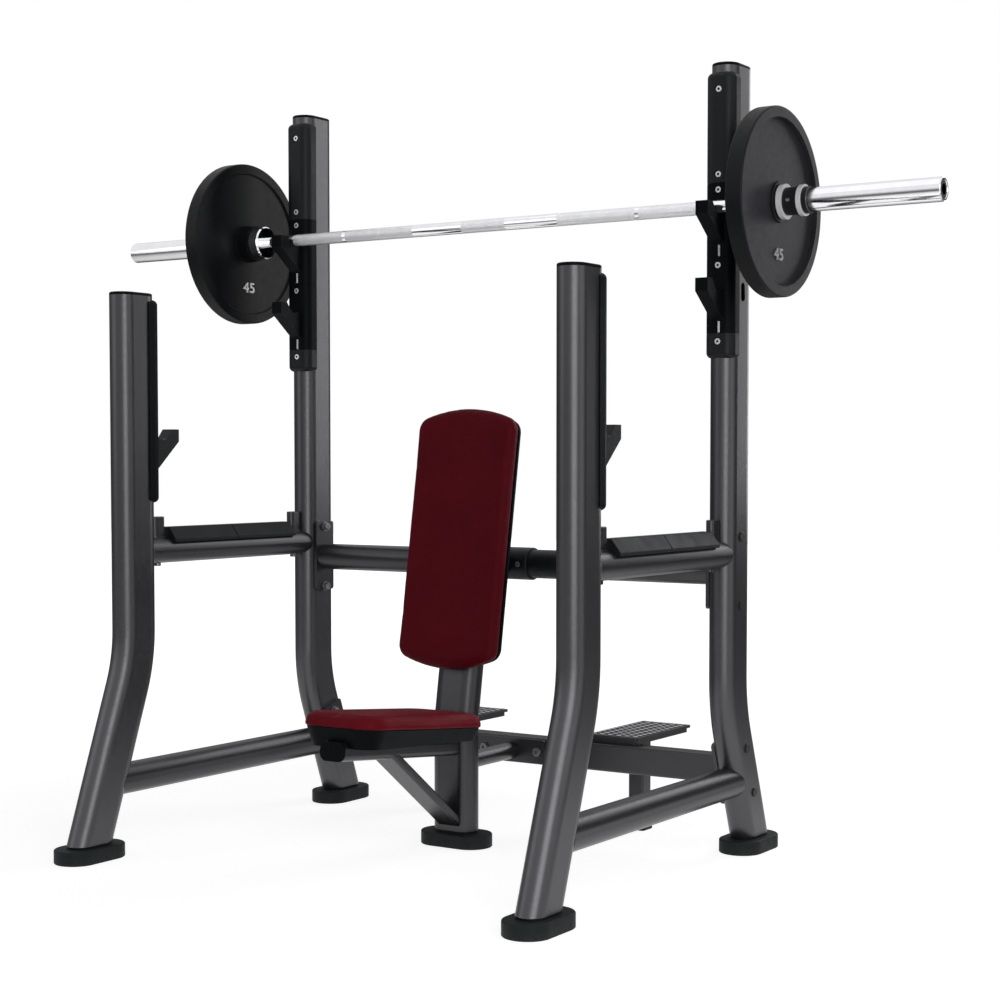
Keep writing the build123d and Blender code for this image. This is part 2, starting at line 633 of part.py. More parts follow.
def cover_piece(side, line_y, facing, low, high, bolts, round_top=0.0, round_low=0.0):
    """One moulded cover wrapped over the nose of an upright, with sunk bolt seats.

    facing is -1 where the nose looks to the seat side and +1 where it looks to the spotter side.
    """
    gap = 0.15
    straight = (TUBE_D - TUBE_W) / 2
    base = Plane((side * UPRIGHT_X, line_y, low))
    middle = facing * (COVER_FRONT + COVER_SIDE) / 2
    with BuildPart() as cover:
        with BuildSketch(base) as outline:
            with Locations((0, middle)):
                Rectangle(2 * COVER_W, COVER_FRONT - COVER_SIDE)
            fillet([v for v in outline.vertices() if facing * v.Y > abs(middle)], radius=COVER_CORNER)
        extrude(amount=high - low)
        back_face = line_y + facing * COVER_SIDE
        for level, radius in ((high, round_top), (low, round_low)):
            rim = [edge for edge in cover.edges() if abs(edge.center().Z - level) < 0.01
                   and abs(edge.center().Y - back_face) > 0.01]
            if radius:
                fillet(rim, radius=radius)
            else:
                chamfer(rim, length=SEAM_EDGE)
        with BuildSketch(base):
            with Locations((0, facing * straight)):
                Circle(TUBE_W / 2 + gap)
            with Locations((0, facing * straight / 2)):
                Rectangle(TUBE_W + 2 * gap, straight)
        extrude(amount=high - low, mode=Mode.SUBTRACT)
        for z in bolts:
            seat = Plane(origin=(side * UPRIGHT_X, line_y + facing * COVER_FRONT, z), x_dir=(1, 0, 0),
                         z_dir=(0, -facing, 0))
            with BuildSketch(seat):
                Circle(HEAD_R + 1.2)
            extrude(amount=HEAD_DEPTH, mode=Mode.SUBTRACT)
            with BuildSketch(seat):
                Circle(COVER_BOLT_R + 0.3)
            extrude(amount=20, mode=Mode.SUBTRACT)
    return cover.part


def hook_arm(side, line_y, facing, bar_z, arm_drop):
    """Hook arm with an open slot that slopes back to a round seat for the bar."""
    face = COVER_FRONT - 3
    tip = COVER_FRONT + HOOK_REACH
    seat_y = abs(BAR_Y - REAR_Y)
    top = bar_z + HOOK_RISE
    with BuildPart() as arm:
        with BuildSketch(Plane(origin=(side * UPRIGHT_X, line_y, 0), x_dir=(0, facing, 0),
                               z_dir=(facing, 0, 0))):
            with BuildLine():
                Polyline((face, top), (tip, top), (tip, top - TIP_HEIGHT), (COVER_FRONT, top - arm_drop),
                         (face, top - arm_drop), close=True)
            make_face()
            with BuildLine():
                Polyline((COVER_FRONT, top + 1), (tip - LIP, top + 1), (tip - LIP, top),
                         (seat_y + SEAT_R * 0.8, bar_z - SEAT_R * 0.62), (seat_y, bar_z - SEAT_R),
                         (COVER_FRONT, bar_z - SEAT_R * 0.6), close=True)
            make_face(mode=Mode.SUBTRACT)
            with Locations((seat_y, bar_z)):
                Circle(SEAT_R, mode=Mode.SUBTRACT)
        extrude(amount=HOOK_HALF, both=True)
    return arm.part


def build_hooks():
    for side_name, side in SIDES:
        top_cover = cover_piece(side, REAR_Y, -1, SEAMS[1], SEAMS[0], REAR_COVER_BOLTS[:2], round_top=12)
        save(top_cover, f"hook_top_cover_{side_name}")
        end_cover = cover_piece(side, REAR_Y, -1, SEAMS[4], SEAMS[3], REAR_COVER_BOLTS[4:], round_low=12)
        save(end_cover, f"hook_end_cover_{side_name}")
        for place, high, low, drop, bolts in (
            ("upper", SEAMS[1], SEAMS[2], 0, REAR_COVER_BOLTS[2:3]),
            ("lower", SEAMS[2], SEAMS[3], HOOK_DROP, REAR_COVER_BOLTS[3:4]),
        ):
            block = cover_piece(side, REAR_Y, -1, low, high, bolts)
            arm = hook_arm(side, REAR_Y, -1, BAR_Z - drop, ARM_DROP)
            with BuildPart() as hook:
                add(block)
                add(arm)
            save(hook.part, f"{place}_hook_{side_name}")
        guard = cover_piece(side, FRONT_Y, 1, FRONT_COVER_LOW, FRONT_COVER_TOP, FRONT_COVER_BOLTS,
                            round_top=12, round_low=12)
        arm = hook_arm(side, FRONT_Y, 1, BAR_Z - CATCH_DROP, CATCH_ARM_DROP)
        with BuildPart() as front_guard:
            add(guard)
            add(arm, mode=Mode.SUBTRACT)
        save(front_guard.part, f"front_guard_{side_name}")
        save(arm, f"front_catch_{side_name}")


# ---- spotter platforms -------------------------------------------------------------------------
PLATFORM_X = 263.5
PLATFORM_W = 134
PLATFORM_FRONT = REAR_Y + 45
PLATFORM_D = 270
PLATFORM_TOP = 240.5
PLATFORM_T = 6
STUD_PITCH = 22
POST_SQ = 40


def build_platform(side_name, side):
    """Tread plate with raised round studs over a welded under-frame, on a square post."""
    centre_y = PLATFORM_FRONT + PLATFORM_D / 2
    cross_top = LOW_CROSS_Z + LOW_CROSS_H / 2
    plate_low = PLATFORM_TOP - 2 - PLATFORM_T
    with BuildPart() as platform:
        with BuildSketch(Plane.XY.offset(plate_low)):
            with Locations((side * PLATFORM_X, centre_y)):
                RectangleRounded(PLATFORM_W, PLATFORM_D, 6)
        extrude(amount=PLATFORM_T)
        with BuildSketch(Plane.XY.offset(PLATFORM_TOP - 2)):
            with Locations((side * PLATFORM_X, centre_y)):
                with GridLocations(STUD_PITCH, STUD_PITCH, 6, 12):
                    Circle(7)
        extrude(amount=2, taper=30)
        with BuildSketch(Plane.XY.offset(cross_top)):
            with Locations((side * PLATFORM_X, centre_y)):
                RectangleRounded(PLATFORM_W - 16, PLATFORM_D - 8, 4)
                Rectangle(PLATFORM_W - 28, PLATFORM_D - 20, mode=Mode.SUBTRACT)
                Rectangle(PLATFORM_W - 20, POST_SQ + 12)
        extrude(amount=plate_low - cross_top)
    save(platform.part, f"spotter_platform_{side_name}")


def build_platform_post(side_name, side):
    centre_y = PLATFORM_FRONT + PLATFORM_D / 2
    cross_top = LOW_CROSS_Z + LOW_CROSS_H / 2
    with BuildPart() as post:
        with BuildSketch(Plane.XY.offset(8)):
            with Locations((side * PLATFORM_X, centre_y)):
                RectangleRounded(POST_SQ, POST_SQ, 4)
                RectangleRounded(POST_SQ - 2 * WALL, POST_SQ - 2 * WALL, 2, mode=Mode.SUBTRACT)
        extrude(amount=cross_top - 8)
    save(post.part, f"platform_post_{side_name}")


def build_platform_feet():
    """Moulded foot caps over the lower ends of the two platform posts."""
    centre_y = PLATFORM_FRONT + PLATFORM_D / 2
    with BuildPart() as feet:
        with BuildSketch(Plane.XY):
            with Locations(*[(side * PLATFORM_X, centre_y) for _, side in SIDES]):
                RectangleRounded(POST_SQ + 8, POST_SQ + 8, 7)
        extrude(amount=26)
        with BuildSketch(Plane.XY.offset(8)):
            with Locations(*[(side * PLATFORM_X, centre_y) for _, side in SIDES]):
                RectangleRounded(POST_SQ + 0.2, POST_SQ + 0.2, 4)
        extrude(amount=20, mode=Mode.SUBTRACT)
        chamfer(feet.faces().sort_by(Axis.Z)[:2].edges(), length=1.5)
    save(feet.part, "platform_feet")


# ---- fasteners ---------------------------------------------------------------------------------
HEX_R = 10                 # heads of the frame bolts
BUTTON_H = 3               # low heads on the outer faces of the uprights
LINK_HEAD_H = 7


def bolt(seat, head_r, head_h, shank_r, shank, socket=0.0):
    """Bolt solid. seat is the plane under the head, z pointing out of the surface."""
    with BuildPart() as body:
        with BuildSketch(seat):
            Circle(head_r)
        extrude(amount=head_h)
        fillet(body.edges().filter_by(GeomType.CIRCLE).sort_by(lambda e: -seat.to_local_coords(e.center()).Z)[0],
               radius=min(1.2, head_h / 3))
        with BuildSketch(seat):
            Circle(shank_r)
        extrude(amount=-shank)
        if socket:
            with BuildSketch(seat.offset(head_h)):
                RegularPolygon(socket, 6)
            extrude(amount=-head_h * 0.6, mode=Mode.SUBTRACT)
    return body.part


def build_cover_bolts():
    """Socket screws that hold the hook covers and the front guards."""
    screws = []
    for _, side in SIDES:
        for line_y, facing, heights in ((REAR_Y, -1, REAR_COVER_BOLTS), (FRONT_Y, 1, FRONT_COVER_BOLTS)):
            for z in heights:
                seat = Plane(origin=(side * UPRIGHT_X, line_y + facing * (COVER_FRONT - HEAD_DEPTH), z),
                             x_dir=(1, 0, 0), z_dir=(0, facing, 0))
                screws.append(bolt(seat, HEAD_R, 5, COVER_BOLT_R, 16, socket=3.2))
    with BuildPart() as group:
        add(screws)
    save(group.part, "cover_screws")


def build_frame_bolts():
    """Through bolts of the cross members, and the screws of the clamp, the pad and the rail stops."""
    bolts = []
    outer_face = UPRIGHT_X + TUBE_W / 2
    through = TUBE_W + FLANGE_T + 2
    for _, side in SIDES:
        for z in CROSS_BOLTS:
            seat = Plane(origin=(side * outer_face, REAR_Y, z), x_dir=(0, 1, 0), z_dir=(side, 0, 0))
            bolts.append(bolt(seat, HEX_R, BUTTON_H, BOLT_R, through))
            nut = Plane(origin=(side * (INNER_FACE - FLANGE_T), REAR_Y, z), x_dir=(0, 1, 0), z_dir=(-side, 0, 0))
            bolts.append(bolt_nut(nut))
        for shift in (-1, 1):
            along = shift * LOW_BOLT_PITCH / 2
            outer = low_flange_plane(side * outer_face)
            spot = outer.from_local_coords((0, along, 0))
            outer_seat = Plane(origin=spot, x_dir=(0, 1, 0), z_dir=(side, 0, 0))
            bolts.append(bolt(outer_seat, HEX_R, BUTTON_H, BOLT_R, through))
            inner = low_flange_plane(side * (INNER_FACE - FLANGE_T)).from_local_coords((0, along, 0))
            bolts.append(bolt_nut(Plane(origin=inner, x_dir=(0, 1, 0), z_dir=(-side, 0, 0))))
        for y in LUG_YS:
            under = Plane(origin=(side * UPRIGHT_X, y, RAIL_Z - RAIL_R + 1.5), x_dir=(1, 0, 0), z_dir=(0, 0, -1))
            bolts.append(bolt(under, 8, 8, 4, WALL + 3, socket=3.2))
    for x, z in LINK_BOLTS:
        plate = Plane(origin=(x, LINK_PLATE_Y - FLANGE_T, z), x_dir=(1, 0, 0), z_dir=(0, -1, 0))
        bolts.append(bolt(plate, HEX_R, LINK_HEAD_H, BOLT_R, FLANGE_T + LOW_CROSS_D / 2, socket=4))
    for x, z in CLAMP_SCREWS:
        seat = Plane(origin=(x, REAR_Y - SLEEVE_OUT + 4, z), x_dir=(1, 0, 0), z_dir=(0, -1, 0))
        bolts.append(bolt(seat, 6.5, 4, 4, 2, socket=3))
    with BuildPart() as group:
        add(bolts)
    save(group.part, "frame_bolts")


def bolt_nut(seat):
    """Domed nut with a washer, standing on the plane and clear of the bolt inside it."""
    with BuildPart() as nut:
        with BuildSketch(seat):
            Circle(12)
            Circle(BOLT_R + 0.2, mode=Mode.SUBTRACT)
        extrude(amount=2)
        with BuildSketch(seat.offset(2)):
            RegularPolygon(10, 6)
            Circle(BOLT_R + 0.2, mode=Mode.SUBTRACT)
        extrude(amount=7)
        with BuildSketch(seat.offset(9)):
            Circle(8.5)
        extrude(amount=5, taper=30)
    return nut.part


# ---- barbell -----------------------------------------------------------------------------------
BUSH_OUT = 20
BUSH_LENGTH = 40
SHAFT_END = 1078
SNAP_X = 1071
END_HOLE_R = 11.5          # blind hole in the sleeve's end plug


def bar_plane(x, outward=1):
    """Plane across the barbell at x, facing outward along X."""
    return Plane(origin=(x, BAR_Y, BAR_Z), x_dir=(0, 1, 0), z_dir=(outward, 0, 0))


def bushing_spots():
    return (SHOULDER_X + 12, SNAP_X - BUSH_LENGTH - 0.5)


def build_shaft():
    with BuildPart() as shaft:
        with BuildSketch(bar_plane(0)):
            Circle(SHAFT_R)
        extrude(amount=SHAFT_END, both=True)
        chamfer(shaft.edges().filter_by(GeomType.CIRCLE), length=1.5)
        for _, side in SIDES:
            with BuildSketch(bar_plane(side * SNAP_X, side)):
                Circle(SHAFT_R + 1)
                Circle(SHAFT_R - 1.5, mode=Mode.SUBTRACT)
            extrude(amount=2, mode=Mode.SUBTRACT)
    save(shaft.part, "bar_shaft")


def build_shaft_fittings():
    """Bronze bushings and snap rings that carry the sleeves on the shaft."""
    with BuildPart() as bushings:
        for _, side in SIDES:
            for x in bushing_spots():
                with BuildSketch(bar_plane(side * x, side)):
                    Circle(BUSH_OUT)
                    Circle(SHAFT_R, mode=Mode.SUBTRACT)
                extrude(amount=BUSH_LENGTH)
    save(bushings.part, "sleeve_bushings")
    with BuildPart() as rings:
        for _, side in SIDES:
            with BuildSketch(bar_plane(side * SNAP_X, side)):
                Circle(SHAFT_R + 3.5)
                Circle(SHAFT_R - 1.5, mode=Mode.SUBTRACT)
                with Locations((0, SHAFT_R + 2)):
                    Rectangle(8, 9, mode=Mode.SUBTRACT)
            extrude(amount=2)
    save(rings.part, "snap_rings")


def build_sleeve(side_name, side):
    """Loading sleeve with its shoulder. It turns on the bushings of the shaft."""
    lip = 10
    with BuildPart() as sleeve:
        with BuildSketch(bar_plane(side * SHOULDER_X, side)):
            Circle(40)
        extrude(amount=SHOULDER_T)
        chamfer(sleeve.edges().filter_by(GeomType.CIRCLE), length=3)
        with BuildSketch(bar_plane(side * SHOULDER_X, side)):
            Circle(SLEEVE_R)
        extrude(amount=BAR_END - SHOULDER_X)
        outer_end = sleeve.edges().filter_by(GeomType.CIRCLE).sort_by(lambda e: -abs(e.center().X))[0]
        chamfer(outer_end, length=2)
        with BuildSketch(bar_plane(side * SHOULDER_X, side)):
            Circle(SHAFT_R + 0.08)
        extrude(amount=lip, mode=Mode.SUBTRACT)
        with BuildSketch(bar_plane(side * (SHOULDER_X + lip), side)):
            Circle(BUSH_OUT + 0.05)
        extrude(amount=BAR_END - SHOULDER_X, mode=Mode.SUBTRACT)
    save(sleeve.part, f"sleeve_{side_name}")
    with BuildPart() as cap:
        with BuildSketch(bar_plane(side * (BAR_END - 14), side)):
            Circle(BUSH_OUT + 0.04)
        extrude(amount=13)
        with BuildSketch(bar_plane(side * (BAR_END - 1), side)):
            Circle(END_HOLE_R)
        extrude(amount=-9, mode=Mode.SUBTRACT)
    save(cap.part, f"sleeve_end_cap_{side_name}")


HUB_R = 43
HUB_IN = SHOULDER_X + SHOULDER_T + 0.4
HUB_OUT = 744
WEB_IN = 716
WEB_OUT = 739
DISH_R = 176
DISH_SLOPE = 4             # the dish wall leans in by this much


def build_plate(side_name, side):
    """Dished weight plate: rim, thin web and a hub that stands against the shoulder."""
    with BuildPart() as plate:
        with BuildSketch(Plane(origin=(0, BAR_Y, BAR_Z), x_dir=(side, 0, 0), z_dir=(0, -side, 0))):
            with BuildLine():
                Polyline((HUB_IN, SLEEVE_R + 0.08), (HUB_IN, HUB_R), (WEB_IN, HUB_R + 3),
                         (WEB_IN, DISH_R - DISH_SLOPE), (PLATE_OUT - PLATE_RIM, DISH_R),
                         (PLATE_OUT - PLATE_RIM, PLATE_R), (PLATE_OUT, PLATE_R), (PLATE_OUT, DISH_R),
                         (WEB_OUT, DISH_R - DISH_SLOPE), (WEB_OUT, HUB_R), (HUB_OUT, HUB_R - 1),
                         (HUB_OUT, SLEEVE_R + 0.08), close=True)
            make_face()
        revolve(axis=Axis((0, BAR_Y, BAR_Z), (1, 0, 0)))
        rim = plate.edges().filter_by(GeomType.CIRCLE).filter_by(lambda e: abs(e.radius - PLATE_R) < 0.01)
        fillet(rim, radius=4)
    save(plate.part, f"weight_plate_{side_name}")


COLLAR_IN = HUB_OUT + 0.4


def build_collar(side_name, side):
    """Two-flange clamp collar with a set screw, behind which the plate is held."""
    stages = ((14, 37), (29, 29), (13, 33), (11, 28))
    with BuildPart() as collar:
        x = COLLAR_IN
        for length, radius in stages:
            with BuildSketch(bar_plane(side * x, side)):
                Circle(radius)
            extrude(amount=length)
            x += length
        with BuildSketch(bar_plane(side * (COLLAR_IN - 1), side)):
            Circle(SLEEVE_R + 0.08)
        extrude(amount=80, mode=Mode.SUBTRACT)
        with BuildSketch(Plane(origin=(side * (COLLAR_IN + 28), BAR_Y, BAR_Z), x_dir=(1, 0, 0), z_dir=(0, -1, 0))):
            Circle(4.5)
        extrude(amount=40, mode=Mode.SUBTRACT)
    save(collar.part, f"collar_{side_name}")


def build_all():
    build_uprights()
    build_caps()
    build_feet()
    for side_name, side in SIDES:
        build_upper_rail(side_name, side)
        build_wear_covers(side_name, side)
        build_lower_rail(side_name, side)
        build_platform(side_name, side)
        build_platform_post(side_name, side)
        build_sleeve(side_name, side)
        build_plate(side_name, side)
        build_collar(side_name, side)
    build_upper_cross()
    build_post_clamp()
    build_low_cross()
    build_link()
    build_post()
    build_seat_tube()
    build_seat_plug()
    build_seat_brace()
    build_seat_pan()
    build_seat_cushion()
    build_back_pad()
    build_hooks()
    build_platform_feet()
    build_cover_bolts()
    build_frame_bolts()
    build_shaft()
    build_shaft_fittings()


build_all()
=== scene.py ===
"""Looks of the seated olympic press bench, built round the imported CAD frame.

Metres, in the CAD's own frame: X along the barbell, Y from the seat side to the spotter side, Z up.
"""
import bpy
import math
import numpy as np
from mathutils import Matrix, Vector


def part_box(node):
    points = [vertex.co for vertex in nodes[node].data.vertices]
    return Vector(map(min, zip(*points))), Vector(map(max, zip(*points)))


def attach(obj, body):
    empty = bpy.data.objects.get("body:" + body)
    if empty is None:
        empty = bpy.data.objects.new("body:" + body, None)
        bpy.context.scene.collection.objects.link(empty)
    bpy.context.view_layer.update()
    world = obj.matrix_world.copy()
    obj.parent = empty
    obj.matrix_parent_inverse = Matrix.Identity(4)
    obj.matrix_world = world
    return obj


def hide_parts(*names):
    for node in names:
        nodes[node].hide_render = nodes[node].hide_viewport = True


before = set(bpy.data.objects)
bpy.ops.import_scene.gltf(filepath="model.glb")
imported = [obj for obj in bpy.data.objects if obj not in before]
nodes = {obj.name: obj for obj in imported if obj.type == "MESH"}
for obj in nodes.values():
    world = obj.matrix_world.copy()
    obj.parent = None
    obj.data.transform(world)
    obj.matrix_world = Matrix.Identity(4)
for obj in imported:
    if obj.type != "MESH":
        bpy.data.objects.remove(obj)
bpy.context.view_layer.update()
SIDES = (("left", -1), ("right", 1))

# ---- the CAD's driving dimensions that the looks need, in metres -------------------------------
RECLINE = math.radians(9.5)
SEAT_TILT = math.radians(5.7)
UPRIGHT_X = 0.584
SHAFT_LOW, SHAFT_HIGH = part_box("bar_shaft")
BAR_Y = (SHAFT_LOW.y + SHAFT_HIGH.y) / 2
BAR_Z = (SHAFT_LOW.z + SHAFT_HIGH.z) / 2


def middle(node):
    low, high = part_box(node)
    return (low + high) / 2


# ---- material kit ------------------------------------------------------------------------------
class Graph:
    """A material's node tree, with short calls for the nodes that the finishes share."""

    def __init__(self, name):
        self.mat = bpy.data.materials.new(name)
        self.mat.use_nodes = True
        self.tree = self.mat.node_tree
        self.shader = self.tree.nodes["Principled BSDF"]
        self.coords = self.add("ShaderNodeTexCoord").outputs["Object"]

    def add(self, kind, **settings):
        node = self.tree.nodes.new(kind)
        for key, value in settings.items():
            setattr(node, key, value)
        return node

    def feed(self, socket, value):
        if hasattr(value, "is_output"):
            self.tree.links.new(value, socket)
        else:
            socket.default_value = value

    def set(self, **values):
        for key, value in values.items():
            self.feed(self.shader.inputs[key.replace("_", " ")], value)

    def noise(self, scale, detail=3.0, rough=0.55, distortion=0.0, coords=None):
        node = self.add("ShaderNodeTexNoise")
        self.feed(node.inputs["Vector"], coords or self.coords)
        node.inputs["Scale"].default_value = scale
        node.inputs["Detail"].default_value = detail
        node.inputs["Roughness"].default_value = rough
        node.inputs["Distortion"].default_value = distortion
        return node.outputs["Fac"]

    def cells(self, scale, feature="F1"):
        node = self.add("ShaderNodeTexVoronoi", feature=feature)
        self.feed(node.inputs["Vector"], self.coords)
        node.inputs["Scale"].default_value = scale
        return node.outputs["Distance"]

    def math(self, op, a, b=0.0, clamp=False):
        node = self.add("ShaderNodeMath", operation=op, use_clamp=clamp)
        self.feed(node.inputs[0], a)
        self.feed(node.inputs[1], b)
        return node.outputs[0]

    def spread(self, value, low, high, to_low=0.0, to_high=1.0):
        node = self.add("ShaderNodeMapRange", clamp=True)
        self.feed(node.inputs["Value"], value)
        for key, number in (("From Min", low), ("From Max", high), ("To Min", to_low), ("To Max", to_high)):
            node.inputs[key].default_value = number
        return node.outputs["Result"]

    def mix(self, factor, a, b):
        node = self.add("ShaderNodeMix", data_type="RGBA")
        self.feed(node.inputs["Factor"], factor)
        self.feed(node.inputs["A"], a)
        self.feed(node.inputs["B"], b)
        return node.outputs["Result"]

    def stretch(self, x, y, z):
        node = self.add("ShaderNodeMapping")
        self.feed(node.inputs["Vector"], self.coords)
        node.inputs["Scale"].default_value = (x, y, z)
        return node.outputs["Vector"]

    def axis(self, name):
        node = self.add("ShaderNodeSeparateXYZ")
        self.feed(node.inputs["Vector"], self.coords)
        return node.outputs[name]

    def off_axis(self):
        """Distance from the barbell's axis."""
        y, z = (self.math("SUBTRACT", self.axis(name), at) for name, at in (("Y", BAR_Y), ("Z", BAR_Z)))
        return self.math("SQRT", self.math("ADD", self.math("MULTIPLY", y, y), self.math("MULTIPLY", z, z)))

    def normal_axis(self, name):
        node = self.add("ShaderNodeSeparateXYZ")
        self.feed(node.inputs["Vector"], self.add("ShaderNodeNewGeometry").outputs["Normal"])
        return node.outputs[name]

    def edges(self, radius, low=0.02, high=0.25):
        """1 on edges and corners, 0 on open faces."""
        bevel = self.add("ShaderNodeBevel", samples=6)
        bevel.inputs["Radius"].default_value = radius
        dot = self.add("ShaderNodeVectorMath", operation="DOT_PRODUCT")
        self.feed(dot.inputs[0], bevel.outputs["Normal"])
        self.feed(dot.inputs[1], self.add("ShaderNodeNewGeometry").outputs["Normal"])
        return self.spread(self.math("SUBTRACT", 1.0, dot.outputs["Value"]), low, high)

    def bump(self, height, strength, distance, under=None):
        node = self.add("ShaderNodeBump")
        self.feed(node.inputs["Height"], height)
        node.inputs["Strength"].default_value = strength
        node.inputs["Distance"].default_value = distance
        if under is not None:
            self.feed(node.inputs["Normal"], under)
        return node.outputs["Normal"]


def rgb(r, g, b):
    """Display colour 0-255 as linear RGBA."""
    linear = [(v / 255 / 12.92) if v <= 10 else ((v / 255 + 0.055) / 1.055) ** 2.4 for v in (r, g, b)]
    return (*linear, 1.0)


COAT_ROUGHNESS, COAT_METALLIC = 0.32, 0.92
EDGE_WEAR_AND_HIGHLIGHT_PAINT = rgb(140, 140, 142)
EDGE_WEAR_AND_HIGHLIGHT_PLASTIC = rgb(78, 82, 86)
FLOOR_DUST = rgb(92, 92, 90)


def powder_coat(name, dark, light):
    """Metallic powder coat: fine flake, orange peel, faint dust, thin lighter edges that are partly rubbed
    paint and partly painted highlight.
    """
    g = Graph(name)
    flake = g.spread(g.noise(2600, 2.0, 0.7), 0.35, 0.65)
    cloud = g.spread(g.noise(9, 4.0, 0.6), 0.3, 0.7)
    base = g.mix(flake, dark, light)
    base = g.mix(g.math("MULTIPLY", cloud, 0.25), base, light)
    # lighter edges: partly rubbed paint, partly a painted highlight along the edges
    edge_wear_and_highlight = g.math("MULTIPLY", g.edges(0.0016), g.spread(g.noise(60, 3.0), 0.42, 0.62))
    base = g.mix(g.math("MULTIPLY", edge_wear_and_highlight, 0.3), base, EDGE_WEAR_AND_HIGHLIGHT_PAINT)
    g.set(Base_Color=base, Metallic=COAT_METALLIC, IOR=1.5)
    g.set(Roughness=g.spread(g.noise(140, 4.0), 0.2, 0.8, COAT_ROUGHNESS - 0.05, COAT_ROUGHNESS + 0.08))
    peel = g.bump(g.noise(420, 2.0, 0.4), 0.10, 0.0006)
    g.set(Normal=g.bump(g.noise(2200, 2.0, 0.5), 0.10, 0.0002, peel))
    return g.mat


def moulded_plastic(name, dark, light, roughness=0.42, grain=1300, specular=0.25):
    """Black moulded plastic: fine spark-eroded grain, dusty patches, lighter edges that are partly rubbed and
    partly painted highlight.
    """
    g = Graph(name)
    patch = g.spread(g.noise(22, 5.0, 0.6), 0.35, 0.7)
    base = g.mix(patch, dark, light)
    # lighter edges: partly rubbed plastic, partly a painted highlight along the edges
    plastic_edge_wear_and_highlight = g.math("MULTIPLY", g.edges(0.0014), g.spread(g.noise(90, 3.0), 0.4, 0.65))
    base = g.mix(g.math("MULTIPLY", plastic_edge_wear_and_highlight, 0.4), base, EDGE_WEAR_AND_HIGHLIGHT_PLASTIC)
    g.set(Base_Color=base, Specular_IOR_Level=specular)
    g.set(Roughness=g.spread(patch, 0.0, 1.0, roughness - 0.04, roughness + 0.1))
    pits = g.bump(g.cells(grain), 0.22, 0.00025)
    g.set(Normal=g.bump(g.noise(260, 3.0), 0.06, 0.0006, pits))
    return g.mat


def rubber(name):
    """Black rubber with uneven patches and some dust where it meets the floor."""
    g = Graph(name)
    cloud = g.spread(g.noise(35, 5.0, 0.65), 0.3, 0.7)
    base = g.mix(cloud, rgb(12, 17, 19), rgb(22, 28, 30))
    low = g.spread(g.axis("Z"), 0.0, 0.02, 1.0, 0.0)
    dust = g.math("MULTIPLY", low, g.spread(g.noise(160, 4.0), 0.35, 0.7))
    base = g.mix(g.math("MULTIPLY", dust, 0.25), base, FLOOR_DUST)
    g.set(Base_Color=base, Specular_IOR_Level=0.22)
    g.set(Roughness=g.spread(cloud, 0.0, 1.0, 0.55, 0.72))
    g.set(Normal=g.bump(g.noise(900, 3.0, 0.6), 0.2, 0.0003))
    return g.mat


def vinyl(name, deep, bright):
    """Upholstery vinyl: pebbled leather grain, soft creases, a little sheen."""
    g = Graph(name)
    cloud = g.spread(g.noise(7, 4.0, 0.55), 0.3, 0.7)
    pebble = g.cells(620, feature="DISTANCE_TO_EDGE")
    pores = g.spread(pebble, 0.0, 0.12)
    base = g.mix(cloud, deep, bright)
    base = g.mix(g.math("MULTIPLY", g.math("SUBTRACT", 1.0, pores), 0.35), base, rgb(30, 4, 8))
    g.set(Base_Color=base, Specular_IOR_Level=0.07)
    g.set(Roughness=g.spread(g.noise(60, 5.0), 0.25, 0.75, 0.42, 0.56))
    creases = g.bump(g.noise(38, 6.0, 0.6, 0.8), 0.10, 0.0016)
    g.set(Normal=g.bump(pores, 0.28, 0.0003, creases))
    return g.mat


KNURLS = ((0.0, 0.06), (0.20, 0.40), (0.41, 0.56))     # knurled bands, from the shaft's middle
KNURL_PITCH, KNURL_TURNS = 0.0024, 36.0


def chrome(name, knurl=False, painted_shade_radius=0.0):
    """Hard chrome with fine turning lines; the shaft has knurled bands, and a plug's bore carries painted
    shade, a near-black colour within the given radius of the bar's axis.
    """
    g = Graph(name)
    turned = g.noise(1.0, 3.0, 0.6, coords=g.stretch(3200, 18, 18))
    haze = g.spread(g.noise(45, 5.0), 0.35, 0.8)
    base = g.mix(haze, rgb(249, 249, 251), rgb(238, 239, 242))
    if painted_shade_radius:
        # painted shade: the plug's bore is coloured near-black where shade falls inside it
        across = g.off_axis()
        base = g.mix(g.math("LESS_THAN", across, painted_shade_radius), base, rgb(16, 16, 18))
    g.set(Base_Color=base, Metallic=1.0)
    rough = g.spread(haze, 0.0, 1.0, 0.05, 0.12)
    lines = g.bump(turned, 0.05, 0.00008)
    if not knurl:
        g.set(Roughness=rough, Normal=lines)
        return g.mat
    x = g.axis("X")
    around = g.math("ARCTAN2", g.math("SUBTRACT", g.axis("Z"), BAR_Z), g.math("SUBTRACT", g.axis("Y"), BAR_Y))
    ridges = []
    for way in (1, -1):
        across_bar = g.math("MULTIPLY", around, KNURL_TURNS * way)
        phase = g.math("ADD", g.math("MULTIPLY", x, 2 * math.pi / KNURL_PITCH), across_bar)
        ridges.append(g.math("SINE", phase))
    diamonds = g.math("MINIMUM", *ridges)
    far = g.math("ABSOLUTE", x)
    bands = 0.0
    for start, end in KNURLS:
        inside = g.math("MULTIPLY", g.math("GREATER_THAN", far, start), g.math("LESS_THAN", far, end))
        bands = inside if bands == 0.0 else g.math("ADD", bands, inside, clamp=True)
    g.set(Roughness=g.math("ADD", rough, g.math("MULTIPLY", bands, 0.16)))
    g.set(Normal=g.bump(g.math("MULTIPLY", diamonds, bands), 0.55, 0.0004, lines))
    return g.mat


REAR_Y, FRONT_Y = 0.281, -0.364   # the uprights' axes behind their covers and guards
SOCKET_FLOOR = 0.0608          # the screws' sockets end this far from an upright's axis
COVER_FACE = 0.0625            # the covers' front faces, from an upright's axis
BRIGHT_PLATE = (rgb(236, 237, 238), rgb(205, 207, 210))


